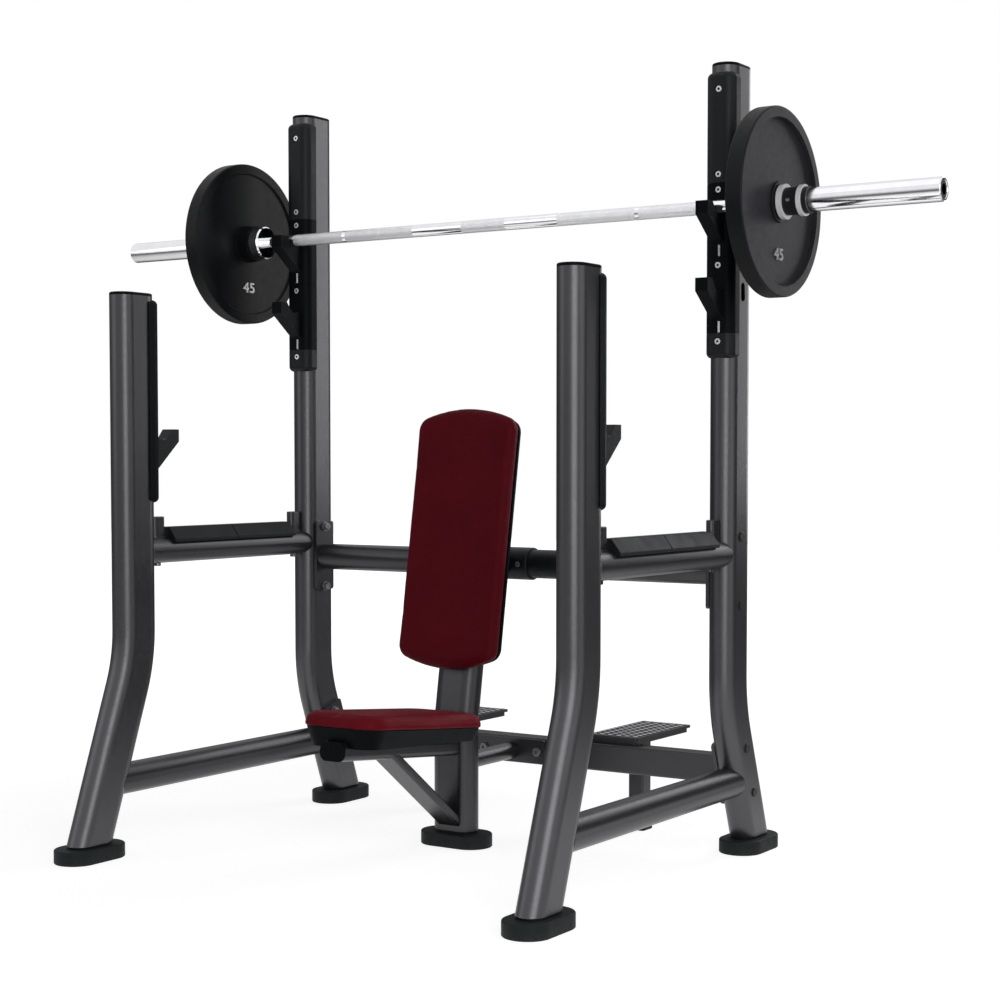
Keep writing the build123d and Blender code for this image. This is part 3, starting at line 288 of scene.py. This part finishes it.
def bright_zinc(name, painted_beyond=None, paint=None, socket_lines=(), plate=BRIGHT_PLATE):
    """Zinc-plated screws. Heads further out than painted_beyond carry the frame's paint; the sockets, which
    lie closer than SOCKET_FLOOR to one of socket_lines along Y, carry painted shade: they are coloured
    near-black."""
    g = Graph(name)
    cloud = g.spread(g.noise(180, 4.0), 0.3, 0.7)
    base = g.mix(cloud, *plate)
    grime = g.spread(g.noise(420, 4.0), 0.55, 0.75)
    base = g.mix(g.math("MULTIPLY", grime, 0.3), base, rgb(70, 70, 72))
    metallic, rough = 0.55, g.spread(cloud, 0.0, 1.0, 0.22, 0.36)
    for line in socket_lines:
        off = g.math("ABSOLUTE", g.math("SUBTRACT", g.axis("Y"), line))
        # painted shade in the sockets: near-black where the recess is shaded
        base = g.mix(g.math("LESS_THAN", off, SOCKET_FLOOR), base, rgb(18, 18, 20))
    if painted_beyond is not None:
        outer = g.math("GREATER_THAN", g.math("ABSOLUTE", g.axis("X")), painted_beyond)
        base = g.mix(outer, base, paint)
        metallic = g.spread(outer, 0.0, 1.0, 0.55, 0.3)
        rough = g.math("ADD", rough, g.math("MULTIPLY", outer, 0.15))
    g.set(Base_Color=base, Metallic=metallic, Roughness=rough)
    g.set(Normal=g.bump(g.noise(700, 3.0), 0.08, 0.0002))
    return g.mat


def iron_plate(name):
    """Satin black enamel over cast iron: the outer faces keep the lighter enamel and all other faces are
    near-black as painted shade; the lighter edges are partly worn enamel and partly painted highlight.
    """
    g = Graph(name)
    cloud = g.spread(g.noise(14, 5.0, 0.6), 0.3, 0.72)
    base = g.mix(cloud, rgb(31, 31, 36), rgb(39, 39, 45))
    painted_light_side = g.math("MULTIPLY", g.normal_axis("X"), g.math("SIGN", g.axis("X")))
    facing = g.spread(painted_light_side, 0.7, 0.95)
    # painted shade: faces that don't face outward along the bar are coloured near-black
    base = g.mix(facing, rgb(5, 7, 9), base)
    edge_wear_and_highlight = g.math("MULTIPLY", g.edges(0.002), g.spread(g.noise(50, 4.0), 0.4, 0.6))
    base = g.mix(g.math("MULTIPLY", edge_wear_and_highlight, 0.45), base, rgb(105, 105, 108))
    g.set(Base_Color=base, Specular_IOR_Level=0.18)
    g.set(Roughness=g.spread(g.noise(90, 4.0), 0.25, 0.75, 0.40, 0.52))
    sand = g.bump(g.noise(520, 4.0, 0.65), 0.16, 0.0004)
    g.set(Normal=g.bump(g.noise(60, 3.0), 0.05, 0.001, sand))
    return g.mat


def collar_metal(name, stages):
    """Flanges either side of a black body, their polish drawn as near-white colour that is a painted
    reflection: the finish follows the distance along the bar.
    """
    g = Graph(name)
    far = g.math("ABSOLUTE", g.axis("X"))
    black = 0.0
    for start, end in stages:
        inside = g.math("MULTIPLY", g.math("GREATER_THAN", far, start), g.math("LESS_THAN", far, end))
        black = inside if black == 0.0 else g.math("ADD", black, inside, clamp=True)
    cloud = g.spread(g.noise(120, 4.0), 0.3, 0.7)
    # painted reflection: the polished flanges are coloured near-white, not metallic
    bright = g.mix(cloud, rgb(250, 250, 250), rgb(238, 239, 240))
    dark = g.mix(cloud, rgb(14, 15, 17), rgb(26, 27, 30))
    g.set(Base_Color=g.mix(black, bright, dark), Coat_Weight=g.math("SUBTRACT", 1.0, black))
    g.set(Roughness=g.spread(black, 0.0, 1.0, 0.3, 0.42), Specular_IOR_Level=0.3)
    g.set(Normal=g.bump(g.noise(1.0, 3.0, 0.6, coords=g.stretch(2600, 30, 30)), 0.08, 0.0001))
    return g.mat


def tread_paint(name, stud_height):
    """Powder coat whose raised studs are rubbed bright on top."""
    g = Graph(name)
    flake = g.spread(g.noise(2400, 2.0, 0.7), 0.35, 0.65)
    base = g.mix(flake, rgb(30, 30, 33), rgb(46, 46, 49))
    top = g.spread(g.axis("Z"), stud_height - 0.0007, stud_height - 0.0002)
    rubbed = g.math("MULTIPLY", top, g.spread(g.noise(120, 4.0), 0.25, 0.5, 0.6, 1.0))
    g.set(Base_Color=g.mix(rubbed, base, rgb(248, 248, 249)))
    g.set(Metallic=0.25, Roughness=g.spread(rubbed, 0.0, 1.0, 0.42, 0.3))
    g.set(Normal=g.bump(g.noise(600, 3.0), 0.12, 0.0003))
    return g.mat


def bronze(name):
    """Sintered bronze of the sleeves' bushings."""
    g = Graph(name)
    cloud = g.spread(g.noise(200, 4.0), 0.3, 0.7)
    g.set(Base_Color=g.mix(cloud, rgb(168, 128, 78), rgb(128, 92, 52)), Metallic=1.0)
    g.set(Roughness=g.spread(cloud, 0.0, 1.0, 0.3, 0.45), Normal=g.bump(g.noise(1500, 2.0), 0.15, 0.0002))
    return g.mat


def painted_mark(name, colour):
    """Pale paint or film with a faintly uneven surface."""
    g = Graph(name)
    cloud = g.spread(g.noise(300, 4.0), 0.35, 0.7)
    shade = tuple(v * 0.8 for v in colour[:3]) + (1.0,)
    g.set(Base_Color=g.mix(cloud, colour, shade), Roughness=g.spread(cloud, 0.0, 1.0, 0.35, 0.5))
    g.set(Normal=g.bump(g.noise(900, 2.0), 0.1, 0.0002))
    return g.mat


GUNMETAL = powder_coat("gunmetal_powder", rgb(70, 70, 72), rgb(92, 92, 95))
# darker copy of the frame's powder coat for rails and tubes: painted shade
RAIL_METAL_PAINTED_SHADE = powder_coat("gunmetal_powder_rails_painted_shade", rgb(58, 58, 60), rgb(77, 77, 80))
BLACK = moulded_plastic("black_plastic", rgb(11, 15, 17), rgb(20, 25, 28), specular=0.2)
# darker, less glossy copy of the black plastic for the pan, shell, caps, guards and hooks: the lower gloss is
# the plastic's own, the darker colour is painted shade
DARKER_PLASTIC_PAINTED_SHADE = moulded_plastic("black_plastic_painted_shade", rgb(5, 9, 12), rgb(12, 17, 20), specular=0.05)
WEAR = moulded_plastic("wear_cover_plastic", rgb(15, 18, 21), rgb(25, 28, 31), roughness=0.48, grain=900,
                       specular=0.15)
RUBBER = rubber("foot_rubber")
CHROME = chrome("hard_chrome")
END_HOLE_R = 0.0117
END_PLUG = chrome("end_plug", painted_shade_radius=END_HOLE_R)
SHAFT_CHROME = chrome("knurled_chrome", knurl=True)
SCREW = bright_zinc("bright_zinc", socket_lines=(REAR_Y, FRONT_Y))
# painted highlight: flat near-white paint for the bright strips under the hook arms
GLINT_WHITE = painted_mark("painted_glint_white", rgb(244, 245, 246))
DULL_PLATE = (rgb(140, 141, 143), rgb(98, 99, 102))
FRAME_BOLT = bright_zinc("frame_bolts", painted_beyond=UPRIGHT_X, paint=rgb(34, 34, 36), plate=DULL_PLATE)
PLATE = iron_plate("plate_enamel")
BRONZE = bronze("bronze")
collar_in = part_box("collar_right")[0].x
COLLAR_BLACKS = ((-0.001, 0.004), (0.0142, 0.047), (0.0562, 0.09))     # from the collar's inner end
COLLAR = collar_metal("collar", [(collar_in + start, collar_in + end) for start, end in COLLAR_BLACKS])
TREAD = tread_paint("tread_paint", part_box("spotter_platform_right")[1].z)
# the seat's copy of the vinyl is lighter than the back's: painted light on the seat's upward face
BACK_VINYL = vinyl("back_vinyl", rgb(96, 11, 24), rgb(108, 15, 29))
SEAT_VINYL_PAINTED_LIGHTER = vinyl("seat_vinyl_painted_lighter", rgb(108, 14, 26), rgb(130, 22, 36))
MARK = painted_mark("white_numerals", rgb(250, 250, 250))
# painted highlight: the dark cast numerals on the outer faces are coloured light grey
NUMERAL_HIGHLIGHT_GREY = painted_mark("cast_numerals_painted_highlight", rgb(172, 172, 176))

FINISHES = (
    (GUNMETAL, ("rear_upright", "front_upright", "back_pad_mounts")),
    (RAIL_METAL_PAINTED_SHADE, ("safety_rail", "lower_side_rail", "upper_cross_tube", "lower_crossmember",
                  "post_link_tube", "centre_post", "seat_tube", "seat_brace", "platform_post")),
    (DARKER_PLASTIC_PAINTED_SHADE, ("seat_tube_plug", "seat_pan", "back_shell", "upright_caps", "front_guard", "upper_hook",
            "lower_hook")),
    (BLACK, ("post_clamp_sleeve", "hook_top_cover", "hook_end_cover", "front_catch")),
    (WEAR, ("rail_wear_covers",)),
    (RUBBER, ("rear_foot", "front_foot", "centre_foot", "platform_feet")),
    (CHROME, ("sleeve_left", "sleeve_right", "snap_rings")),
    (END_PLUG, ("sleeve_end_cap",)),
    (SHAFT_CHROME, ("bar_shaft",)),
    (SCREW, ("cover_screws",)),
    (FRAME_BOLT, ("frame_bolts",)),
    (PLATE, ("weight_plate",)),
    (BRONZE, ("sleeve_bushings",)),
    (COLLAR, ("collar",)),
    (TREAD, ("spotter_platform",)),
)


def paint(obj, material):
    obj.data.materials.clear()
    obj.data.materials.append(material)


for finish, families in FINISHES:
    for family in families:
        for name in (family, family + "_left", family + "_right"):
            if name in nodes:
                paint(nodes[name], finish)


# ---- piece helpers -----------------------------------------------------------------------------
def mesh_piece(name, mesh, material, body):
    obj = bpy.data.objects.new(name, mesh)
    bpy.context.scene.collection.objects.link(obj)
    paint(obj, material)
    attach(obj, body)


def points_of(mesh):
    flat = np.empty(len(mesh.vertices) * 3)
    mesh.vertices.foreach_get("co", flat)
    return flat.reshape(-1, 3)


def set_points(mesh, points):
    mesh.vertices.foreach_set("co", np.asarray(points, float).ravel())
    mesh.update()


# ---- cushions ----------------------------------------------------------------------------------
VOXEL = 0.005
SMOOTH_ROUNDS = 3
PRESSURE, SIM_STEPS = 4.0, 20
SIDEWAYS = 0.3                 # how much of the swelling across the pad is kept
BOARD_HOLD = 0.012             # the foam moves freely only this far above the board
SIDE_ROOM = 0.001              # the fabric's thickness at the sides
SEAM_WIDTH = 0.0028


def pad_frame(centre, across, along):
    """Matrix of a pad: x across it, y along it, z out of its upholstered face."""
    out = across.cross(along)
    rows = Matrix((across, along, out)).transposed().to_4x4()
    rows.translation = centre
    return rows


def inflate(obj, pressure, steps):
    """Blow the closed mesh up as cloth and keep the result."""
    bpy.context.view_layer.objects.active = obj
    cloth = obj.modifiers.new("cloth", "CLOTH")
    cloth.settings.use_pressure = True
    cloth.settings.uniform_pressure_force = pressure
    cloth.settings.effector_weights.gravity = 0.0
    cloth.settings.tension_stiffness = 25
    cloth.settings.compression_stiffness = 25
    cloth.settings.shear_stiffness = 12
    cloth.settings.bending_stiffness = 4
    cloth.settings.quality = 5
    cloth.collision_settings.use_collision = False
    scene = bpy.context.scene
    for step in range(1, steps + 1):
        scene.frame_set(step)
    graph = bpy.context.evaluated_depsgraph_get()
    swollen = points_of(obj.evaluated_get(graph).to_mesh())
    obj.modifiers.remove(cloth)
    scene.frame_set(1)
    return swollen


def crown(points, half, base, top, drop, width):
    """Lower the upholstered face towards its rim by drop, over a border of the given width."""
    border = np.clip((half - np.abs(points[:, :2])) / width, 0.0, 1.0)
    keep = (1 - (1 - border[:, 0]) ** 2) * (1 - (1 - border[:, 1]) ** 2)
    share = (points[:, 2] - base) / (top - base)
    points[:, 2] -= drop * (1 - keep) * share


def cushion(node, place, slim, cap, material, body, seam_at, seam_depth, drop, width):
    """Soft pad blown up from its CAD solid: flat under the board, crowned in front, with a seam round it."""
    low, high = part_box(node)
    mesh = nodes[node].data.copy()
    obj = bpy.data.objects.new(node + "_soft", mesh)
    bpy.context.scene.collection.objects.link(obj)
    mesh.transform(place.inverted())
    local = points_of(mesh)
    base, top = local[:, 2].min(), local[:, 2].max()
    half = np.abs(local[:, :2]).max(0)
    local[:, 0] *= (half[0] - slim) / half[0]
    local[:, 1] *= (half[1] - slim) / half[1]
    local[:, 2] = base + (local[:, 2] - base) * (top - base - slim) / (top - base)
    set_points(mesh, local)
    bpy.context.view_layer.objects.active = obj
    remesh = obj.modifiers.new("remesh", "REMESH")
    remesh.mode = "VOXEL"
    remesh.voxel_size = VOXEL
    bpy.ops.object.select_all(action="DESELECT")
    obj.select_set(True)
    bpy.ops.object.modifier_apply(modifier=remesh.name)
    smooth = obj.modifiers.new("smooth", "SMOOTH")
    smooth.factor, smooth.iterations = 0.5, SMOOTH_ROUNDS
    bpy.ops.object.modifier_apply(modifier=smooth.name)
    rest = points_of(obj.data)
    moved = inflate(obj, PRESSURE, SIM_STEPS) - rest
    size = np.linalg.norm(moved, axis=1, keepdims=True)
    moved *= np.minimum(1.0, cap / np.maximum(size, 1e-9))
    moved[:, :2] *= SIDEWAYS
    hold = np.clip((rest[:, 2] - base) / BOARD_HOLD, 0.0, 1.0)[:, None]
    rest = rest + moved * (0.25 + 0.75 * hold)
    for axis in (0, 1):
        rest[:, axis] *= (half[axis] + SIDE_ROOM) / np.abs(rest[:, axis]).max()
    rest[:, 2] = np.clip(rest[:, 2], base, top)
    crown(rest, half, base, top, drop, width)
    seam_z = base + (top - base) * seam_at
    near = np.exp(-((rest[:, 2] - seam_z) / SEAM_WIDTH) ** 2)
    flat = rest[:, :2] / np.maximum(np.linalg.norm(rest[:, :2], axis=1, keepdims=True), 1e-9)
    rest[:, :2] -= flat * near[:, None] * seam_depth
    set_points(obj.data, rest)
    obj.data.transform(place)
    obj.data.polygons.foreach_set("use_smooth", [True] * len(obj.data.polygons))
    sub = obj.modifiers.new("subdivision", "SUBSURF")
    sub.levels = sub.render_levels = 1
    paint(obj, material)
    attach(obj, body)
    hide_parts(node)


back_out = Vector((0, -math.cos(RECLINE), math.sin(RECLINE)))
back_up = Vector((0, math.sin(RECLINE), math.cos(RECLINE)))
back_place = pad_frame(middle("back_cushion"), Vector((1, 0, 0)), back_up)
cushion("back_cushion", back_place, slim=0.0015, cap=0.007, material=BACK_VINYL, body="frame",
        seam_at=0.5, seam_depth=0.0012, drop=0.002, width=0.04)
seat_fore = Vector((0, -math.cos(SEAT_TILT), math.sin(SEAT_TILT)))
seat_place = pad_frame(middle("seat_cushion"), Vector((-1, 0, 0)), seat_fore)
cushion("seat_cushion", seat_place, slim=0.0015, cap=0.007, material=SEAT_VINYL_PAINTED_LIGHTER, body="frame",
        seam_at=0.45, seam_depth=0.0012, drop=0.005, width=0.075)


# ---- numerals on the plates --------------------------------------------------------------------
def numerals(name, text, height, thick):
    """Raised numerals as a mesh standing on the local XY plane, centred."""
    curve = bpy.data.curves.new(name, "FONT")
    curve.body = text
    curve.size = height * 1.4
    curve.space_character = 1.08
    curve.align_x, curve.align_y = "CENTER", "CENTER"
    curve.extrude = thick / 2
    curve.bevel_depth = thick * 0.2
    curve.bevel_resolution = 1
    curve.offset = 0.0001
    holder = bpy.data.objects.new(name, curve)
    bpy.context.scene.collection.objects.link(holder)
    bpy.context.view_layer.update()
    mesh = bpy.data.meshes.new_from_object(holder.evaluated_get(bpy.context.evaluated_depsgraph_get()))
    bpy.data.objects.remove(holder)
    return mesh


WEB_FACES = (0.739, 0.716)     # outer and inner faces of a plate's web, along X
NUMBER_DROP = 0.110            # the numerals' middle under the bar's axis
NUMBER_HEIGHT, NUMBER_THICK, NUMBER_STRETCH = 0.025, 0.0024, 1.2
NUMBER_STAND = 0.0010          # the numerals' middle plane off the web
for side_name, side in SIDES:
    for face_name, web, facing in (("outer", WEB_FACES[0], side), ("inner", WEB_FACES[1], -side)):
        mesh = numerals(f"numerals_{side_name}_{face_name}", "45", NUMBER_HEIGHT, NUMBER_THICK)
        mesh.transform(Matrix.Diagonal((NUMBER_STRETCH, 1.0, 1.0, 1.0)))
        upright = Matrix.Rotation(math.radians(90), 4, "X")
        turn = Matrix.Rotation(math.radians(90 * facing), 4, "Z")
        spot = Matrix.Translation((side * web + facing * NUMBER_STAND, BAR_Y, BAR_Z - NUMBER_DROP))
        mesh.transform(spot @ turn @ upright)
        # outer numerals: light grey as a painted highlight on the dark cast digits
        finish = NUMERAL_HIGHLIGHT_GREY if face_name == "outer" else MARK
        mesh_piece(f"numerals_{side_name}_{face_name}", mesh, finish, f"plate_{side_name}")


# ---- near-white strips under the hook arms: a painted highlight --------------------------------
def strip(width, height, proud):
    """Small bevelled bar, centred, its back just under the local XZ plane and its face towards -Y."""
    mesh = bpy.data.meshes.new("strip")
    edge = proud * 0.4
    sunk = 0.001
    corners = []
    for inset, y in ((0.0, sunk), (0.0, edge - proud), (edge, -proud)):
        for x, z in ((-1, -1), (1, -1), (1, 1), (-1, 1)):
            corners.append((x * (width / 2 - inset), y, z * (height / 2 - inset)))
    faces = [(3, 2, 1, 0), (8, 9, 10, 11)]
    for ring in (0, 4):
        for a in range(4):
            b = (a + 1) % 4
            faces.append((ring + a, ring + b, ring + b + 4, ring + a + 4))
    mesh.from_pydata(corners, [], faces)
    return mesh


GLINT_HEIGHTS = (("upper", 1.332), ("lower", 1.168))
GLINT_W, GLINT_H, GLINT_PROUD = 0.0045, 0.024, 0.0012
GLINT_ASIDE = 0.004             # the strips lie this far to the right of the uprights' middle
for side_name, side in SIDES:
    for place, height in GLINT_HEIGHTS:
        mesh = strip(GLINT_W, GLINT_H, GLINT_PROUD)
        mesh.transform(Matrix.Translation((side * UPRIGHT_X + GLINT_ASIDE, REAR_Y - COVER_FACE, height)))
        # each strip is a painted highlight, coloured near-white
        mesh_piece(f"hook_glint_strip_{place}_{side_name}", mesh, GLINT_WHITE, "frame")


# ---- stage, light, camera ----------------------------------------------------------------------
FLOOR_HALF = 14.0
FLOOR_DROP = 0.0005            # keeps the floor clear of the feet
GLOW_NEAR, GLOW_FAR = 0.84, 1.12
MIRROR_NEAR, MIRROR_FAR = 0.85, 0.08


def floor():
    """Pale floor that fades to white far out; it lights the object only a little from below."""
    mesh = bpy.data.meshes.new("floor")
    corners = [(x * FLOOR_HALF, y * FLOOR_HALF, 0) for x, y in ((-1, -1), (1, -1), (1, 1), (-1, 1))]
    mesh.from_pydata(corners, [], [(0, 1, 2, 3)])
    obj = bpy.data.objects.new("floor", mesh)
    obj.location.z = -FLOOR_DROP
    bpy.context.scene.collection.objects.link(obj)
    g = Graph("studio_floor")
    away = g.add("ShaderNodeVectorMath", operation="LENGTH")
    g.feed(away.inputs[0], g.coords)
    glow = g.spread(away.outputs["Value"], 1.2, 4.0, GLOW_NEAR, GLOW_FAR)
    path = g.add("ShaderNodeLightPath")
    glow = g.math("MULTIPLY", glow, g.spread(path.outputs["Is Diffuse Ray"], 0.0, 1.0, 1.0, 0.08))
    mirrored = g.spread(away.outputs["Value"], 1.3, 4.0, MIRROR_NEAR, MIRROR_FAR)
    mirrored = g.math("MULTIPLY", mirrored, g.spread(g.axis("Y"), 0.7, 1.5, 1.0, 0.25))
    glow = g.mix(path.outputs["Is Glossy Ray"], glow, mirrored)
    g.set(Base_Color=(0.5, 0.5, 0.5, 1), Roughness=0.9, Specular_IOR_Level=0.0)
    g.set(Emission_Color=(1, 1, 1, 1), Emission_Strength=glow)
    paint(obj, g.mat)


def softbox(name, spot, aim, width, height, power):
    light = bpy.data.lights.new(name, "AREA")
    light.shape = "RECTANGLE"
    light.size, light.size_y = width, height
    light.energy = power
    obj = bpy.data.objects.new(name, light)
    bpy.context.scene.collection.objects.link(obj)
    obj.location = spot
    obj.rotation_euler = (Vector(aim) - Vector(spot)).to_track_quat("-Z", "Y").to_euler()
    obj.visible_camera = False


HORIZON = (0.02, (0.07, 0.07, 0.075, 1))          # height of direction, colour
ZENITH = (0.38, (0.86, 0.86, 0.875, 1))
SKY_FILL = (0.08, 0.08, 0.083, 1)                 # what matt surfaces get from all round
FRONT_LIFT = 0.2                                  # how much higher the sky counts in front than at the sides


def sky():
    """White to the camera; as light, bright above and dim near the horizon, dimmest behind, for contrast."""
    world = bpy.data.worlds.new("studio")
    bpy.context.scene.world = world
    world.use_nodes = True
    tree = world.node_tree
    back = tree.nodes["Background"]
    coords = tree.nodes.new("ShaderNodeTexCoord")
    split = tree.nodes.new("ShaderNodeSeparateXYZ")
    ramp = tree.nodes.new("ShaderNodeValToRGB")
    path = tree.nodes.new("ShaderNodeLightPath")
    choose = tree.nodes.new("ShaderNodeMix")
    choose.data_type = "RGBA"
    for element, (position, colour) in zip(ramp.color_ramp.elements, (HORIZON, ZENITH)):
        element.position, element.color = position, colour
    dim = tree.nodes.new("ShaderNodeMix")
    dim.data_type = "RGBA"
    tree.links.new(coords.outputs["Generated"], split.inputs[0])
    forward = tree.nodes.new("ShaderNodeMath")
    forward.operation = "MULTIPLY_ADD"
    forward.inputs[1].default_value = -FRONT_LIFT
    tree.links.new(split.outputs["Y"], forward.inputs[0])
    tree.links.new(split.outputs["Z"], forward.inputs[2])
    tree.links.new(forward.outputs[0], ramp.inputs[0])
    tree.links.new(path.outputs["Is Camera Ray"], choose.inputs["Factor"])
    tree.links.new(path.outputs["Is Diffuse Ray"], dim.inputs["Factor"])
    tree.links.new(ramp.outputs["Color"], dim.inputs["A"])
    dim.inputs["B"].default_value = SKY_FILL
    tree.links.new(dim.outputs["Result"], choose.inputs["A"])
    choose.inputs["B"].default_value = (1.0, 1.0, 1.0, 1.0)
    tree.links.new(choose.outputs["Result"], back.inputs["Color"])


floor()
sky()
# name, place, aim, width, height, watts
softbox("key_front", (2.8, -2.7, 1.5), (0.3, 0.0, 1.0), 2.0, 2.8, 48)
softbox("side_right", (3.4, 0.2, 1.4), (0.5, 0.0, 1.1), 2.0, 2.4, 13)
softbox("rear_panel", (0.9, 2.4, 1.7), (0.0, 0.2, 1.4), 1.1, 2.0, 18)
softbox("top", (0.2, -0.4, 3.6), (0.0, 0.0, 0.6), 3.2, 2.4, 5)
softbox("front_left", (-2.8, -3.0, 1.9), (0.0, 0.0, 0.9), 2.0, 2.4, 11)

AZIMUTH, ELEVATION = math.radians(33.14), math.radians(2.731)
camera = bpy.data.cameras.new("camera")
camera.sensor_width = 36.0
camera.lens = 68.53
camera.shift_y = 0.0479
camera_obj = bpy.data.objects.new("camera", camera)
bpy.context.scene.collection.objects.link(camera_obj)
camera_obj.location = (2.4511, -3.4997, 0.8868)
looking = Vector((-math.sin(AZIMUTH) * math.cos(ELEVATION), math.cos(AZIMUTH) * math.cos(ELEVATION),
                  -math.sin(ELEVATION)))
camera_obj.rotation_euler = looking.to_track_quat("-Z", "Y").to_euler()
bpy.context.scene.camera = camera_obj
bpy.context.scene.view_settings.view_transform = "Standard"
